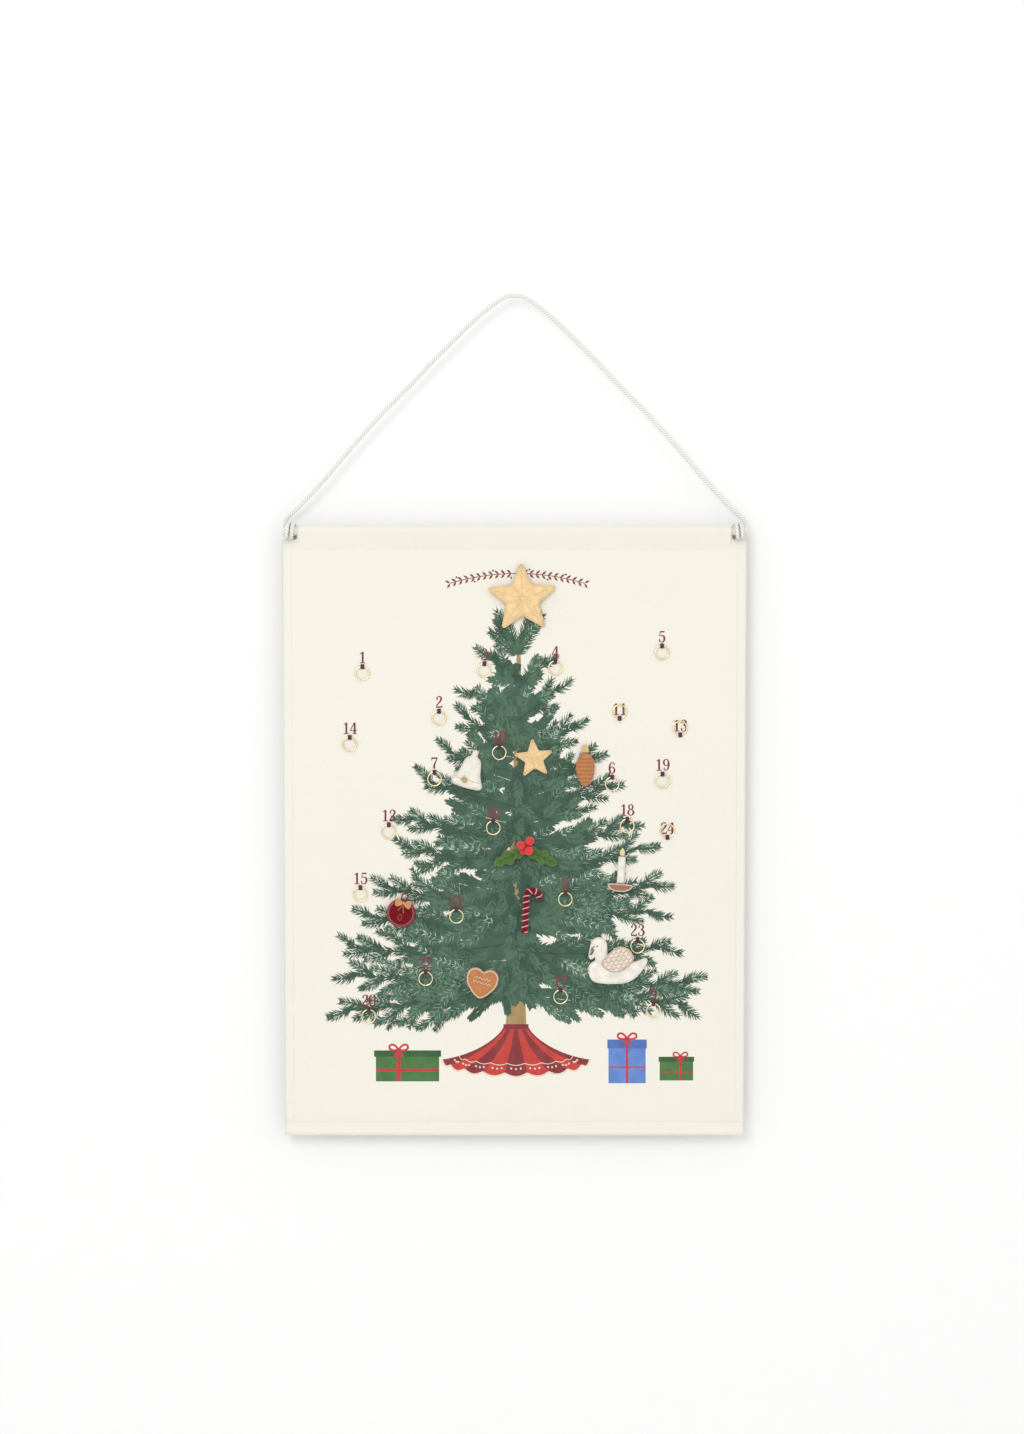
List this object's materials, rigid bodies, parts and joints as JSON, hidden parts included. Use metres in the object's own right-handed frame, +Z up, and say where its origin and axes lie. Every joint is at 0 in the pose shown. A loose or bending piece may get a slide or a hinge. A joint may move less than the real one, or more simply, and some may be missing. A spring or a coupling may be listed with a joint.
{
  "type": "fabric advent calendar",
  "caption": "Fabric wall hanging with rod casings, a hanging cord, small metal rings on thread loops, and felt tree ornaments that pull off.",
  "frame": {"origin": "underside of the hanging cord at its highest point, where the nail or hook holds it", "axes": "+Z up, +X along the rods to the right as seen from the front, +Y towards the wall; the printed front looks along -Y"},
  "size_m": [0.4998, 0.0243, 0.9043],
  "materials": {
    "canvas": "unbleached cotton canvas, matt",
    "cord": "braided cotton cord, matt",
    "rod_wood": "plain turned dowel",
    "brass": "pale brass wire, polished",
    "felt_gold": "pale gold embroidered felt",
    "felt_ivory": "ivory felt",
    "felt_gilt": "gilt thread",
    "felt_brown": "brown felt",
    "felt_leaf": "green felt",
    "felt_berry": "bright red felt balls",
    "felt_cane": "red and white twisted yarn",
    "felt_wine": "dark red felt",
    "felt_wing": "beige embroidered felt",
    "felt_flame": "pale yellow felt",
    "felt_dish": "red-brown felt with a pale edge",
    "hook_dot": "white hook fastener"
  },
  "bodies": {
    "hanging": {"cloth_panel": "canvas", "top_casing": "canvas", "foot_casing": "canvas", "top_rod": "rod_wood", "foot_rod": "rod_wood", "hanging_cord": "cord", "cord_wrap_left": "cord", "cord_wrap_right": "cord"},
    "ring_01_body": {"ring_01": "brass"},
    "ring_02_body": {"ring_02": "brass"},
    "ring_03_body": {"ring_03": "brass"},
    "ring_04_body": {"ring_04": "brass"},
    "ring_05_body": {"ring_05": "brass"},
    "ring_06_body": {"ring_06": "brass"},
    "ring_07_body": {"ring_07": "brass"},
    "ring_08_body": {"ring_08": "brass"},
    "ring_09_body": {"ring_09": "brass"},
    "ring_10_body": {"ring_10": "brass"},
    "ring_11_body": {"ring_11": "brass"},
    "ring_12_body": {"ring_12": "brass"},
    "ring_13_body": {"ring_13": "brass"},
    "ring_14_body": {"ring_14": "brass"},
    "ring_15_body": {"ring_15": "brass"},
    "ring_16_body": {"ring_16": "brass"},
    "ring_17_body": {"ring_17": "brass"},
    "ring_18_body": {"ring_18": "brass"},
    "ring_19_body": {"ring_19": "brass"},
    "ring_20_body": {"ring_20": "brass"},
    "ring_21_body": {"ring_21": "brass"},
    "ring_22_body": {"ring_22": "brass"},
    "ring_23_body": {"ring_23": "brass"},
    "ring_24_body": {"ring_24": "brass"},
    "star_topper_ornament": {"star_topper": "felt_gold", "star_topper_dot": "hook_dot"},
    "small_star_ornament": {"small_star": "felt_gold", "small_star_dot": "hook_dot"},
    "bell_ornament": {"bell_body": "felt_ivory", "bell_clapper": "felt_gilt", "bell_dot": "hook_dot"},
    "pinecone_ornament": {"pinecone_body": "felt_brown", "pinecone_cap": "felt_gilt", "pinecone_dot": "hook_dot"},
    "holly_ornament": {"holly_leaf_left": "felt_leaf", "holly_leaf_right": "felt_leaf", "holly_berries": "felt_berry", "holly_dot": "hook_dot"},
    "candy_cane_ornament": {"candy_cane": "felt_cane", "candy_cane_dot": "hook_dot"},
    "bauble_ornament": {"bauble_body": "felt_wine", "bauble_bow": "felt_gilt", "bauble_dot": "hook_dot"},
    "heart_ornament": {"heart_body": "felt_brown", "heart_dot": "hook_dot"},
    "swan_ornament": {"swan_body": "felt_ivory", "swan_wing": "felt_wing", "swan_dot": "hook_dot"},
    "candle_ornament": {"candle_stick": "felt_ivory", "candle_flame": "felt_flame", "candle_dish": "felt_dish", "candle_dot": "hook_dot"}
  },
  "joints": [
    {"name": "ring_01_swing", "type": "hinge", "parent": "hanging", "child": "ring_01_body", "pos_m": [-0.16347, -0.00135, -0.39609], "axis": [-1, 0, 0], "range_deg": [0, 178]},
    {"name": "ring_02_swing", "type": "hinge", "parent": "hanging", "child": "ring_02_body", "pos_m": [-0.08115, -0.00135, -0.44398], "axis": [-1, 0, 0], "range_deg": [0, 178]},
    {"name": "ring_03_swing", "type": "hinge", "parent": "hanging", "child": "ring_03_body", "pos_m": [-0.0324, -0.00135, -0.39281], "axis": [-1, 0, 0], "range_deg": [0, 178]},
    {"name": "ring_04_swing", "type": "hinge", "parent": "hanging", "child": "ring_04_body", "pos_m": [0.04386, -0.00135, -0.39019], "axis": [-1, 0, 0], "range_deg": [0, 178]},
    {"name": "ring_05_swing", "type": "hinge", "parent": "hanging", "child": "ring_05_body", "pos_m": [0.15856, -0.00135, -0.37379], "axis": [-1, 0, 0], "range_deg": [0, 178]},
    {"name": "ring_06_swing", "type": "hinge", "parent": "hanging", "child": "ring_06_body", "pos_m": [0.10489, -0.00135, -0.51483], "axis": [-1, 0, 0], "range_deg": [0, 178]},
    {"name": "ring_07_swing", "type": "hinge", "parent": "hanging", "child": "ring_07_body", "pos_m": [-0.08601, -0.00135, -0.50958], "axis": [-1, 0, 0], "range_deg": [0, 178]},
    {"name": "ring_08_swing", "type": "hinge", "parent": "hanging", "child": "ring_08_body", "pos_m": [0.05454, -0.00135, -0.63881], "axis": [-1, 0, 0], "range_deg": [0, 178]},
    {"name": "ring_09_swing", "type": "hinge", "parent": "hanging", "child": "ring_09_body", "pos_m": [0.14934, -0.00135, -0.7582], "axis": [-1, 0, 0], "range_deg": [0, 178]},
    {"name": "ring_10_swing", "type": "hinge", "parent": "hanging", "child": "ring_10_body", "pos_m": [-0.01642, -0.00135, -0.48137], "axis": [-1, 0, 0], "range_deg": [0, 178]},
    {"name": "ring_11_swing", "type": "hinge", "parent": "hanging", "child": "ring_11_body", "pos_m": [0.113, -0.00135, -0.45185], "axis": [1, 0, 0], "range_deg": [0, 178]},
    {"name": "ring_12_swing", "type": "hinge", "parent": "hanging", "child": "ring_12_body", "pos_m": [-0.13506, -0.00135, -0.566], "axis": [-1, 0, 0], "range_deg": [0, 178]},
    {"name": "ring_13_swing", "type": "hinge", "parent": "hanging", "child": "ring_13_body", "pos_m": [0.17814, -0.00135, -0.46956], "axis": [1, 0, 0], "range_deg": [0, 178]},
    {"name": "ring_14_swing", "type": "hinge", "parent": "hanging", "child": "ring_14_body", "pos_m": [-0.17713, -0.00135, -0.47219], "axis": [-1, 0, 0], "range_deg": [0, 178]},
    {"name": "ring_15_swing", "type": "hinge", "parent": "hanging", "child": "ring_15_body", "pos_m": [-0.16561, -0.00135, -0.63356], "axis": [-1, 0, 0], "range_deg": [0, 178]},
    {"name": "ring_16_swing", "type": "hinge", "parent": "hanging", "child": "ring_16_body", "pos_m": [-0.02284, -0.00135, -0.56206], "axis": [-1, 0, 0], "range_deg": [0, 178]},
    {"name": "ring_17_swing", "type": "hinge", "parent": "hanging", "child": "ring_17_body", "pos_m": [0.04947, -0.00135, -0.74377], "axis": [-1, 0, 0], "range_deg": [0, 178]},
    {"name": "ring_18_swing", "type": "hinge", "parent": "hanging", "child": "ring_18_body", "pos_m": [0.12118, -0.00135, -0.56009], "axis": [-1, 0, 0], "range_deg": [0, 178]},
    {"name": "ring_19_swing", "type": "hinge", "parent": "hanging", "child": "ring_19_body", "pos_m": [0.15909, -0.00135, -0.51155], "axis": [-1, 0, 0], "range_deg": [0, 178]},
    {"name": "ring_20_swing", "type": "hinge", "parent": "hanging", "child": "ring_20_body", "pos_m": [-0.15674, -0.00135, -0.76476], "axis": [-1, 0, 0], "range_deg": [0, 178]},
    {"name": "ring_21_swing", "type": "hinge", "parent": "hanging", "child": "ring_21_body", "pos_m": [-0.06244, -0.00135, -0.65718], "axis": [-1, 0, 0], "range_deg": [0, 178]},
    {"name": "ring_22_swing", "type": "hinge", "parent": "hanging", "child": "ring_22_body", "pos_m": [-0.09551, -0.00135, -0.72409], "axis": [-1, 0, 0], "range_deg": [0, 178]},
    {"name": "ring_23_swing", "type": "hinge", "parent": "hanging", "child": "ring_23_body", "pos_m": [0.13223, -0.00135, -0.68932], "axis": [-1, 0, 0], "range_deg": [0, 178]},
    {"name": "ring_24_swing", "type": "hinge", "parent": "hanging", "child": "ring_24_body", "pos_m": [0.16431, -0.00135, -0.57977], "axis": [1, 0, 0], "range_deg": [0, 178]},
    {"name": "star_topper_pull_off", "type": "slide", "parent": "hanging", "child": "star_topper_ornament", "axis": [0, -1, 0], "range_m": [0, 0.04]},
    {"name": "small_star_pull_off", "type": "slide", "parent": "hanging", "child": "small_star_ornament", "axis": [0, -1, 0], "range_m": [0, 0.04]},
    {"name": "bell_pull_off", "type": "slide", "parent": "hanging", "child": "bell_ornament", "axis": [0, -1, 0], "range_m": [0, 0.04]},
    {"name": "pinecone_pull_off", "type": "slide", "parent": "hanging", "child": "pinecone_ornament", "axis": [0, -1, 0], "range_m": [0, 0.04]},
    {"name": "holly_pull_off", "type": "slide", "parent": "hanging", "child": "holly_ornament", "axis": [0, -1, 0], "range_m": [0, 0.04]},
    {"name": "candy_cane_pull_off", "type": "slide", "parent": "hanging", "child": "candy_cane_ornament", "axis": [0, -1, 0], "range_m": [0, 0.04]},
    {"name": "bauble_pull_off", "type": "slide", "parent": "hanging", "child": "bauble_ornament", "axis": [0, -1, 0], "range_m": [0, 0.04]},
    {"name": "heart_pull_off", "type": "slide", "parent": "hanging", "child": "heart_ornament", "axis": [0, -1, 0], "range_m": [0, 0.04]},
    {"name": "swan_pull_off", "type": "slide", "parent": "hanging", "child": "swan_ornament", "axis": [0, -1, 0], "range_m": [0, 0.04]},
    {"name": "candle_pull_off", "type": "slide", "parent": "hanging", "child": "candle_ornament", "axis": [0, -1, 0], "range_m": [0, 0.04]}
  ]
}
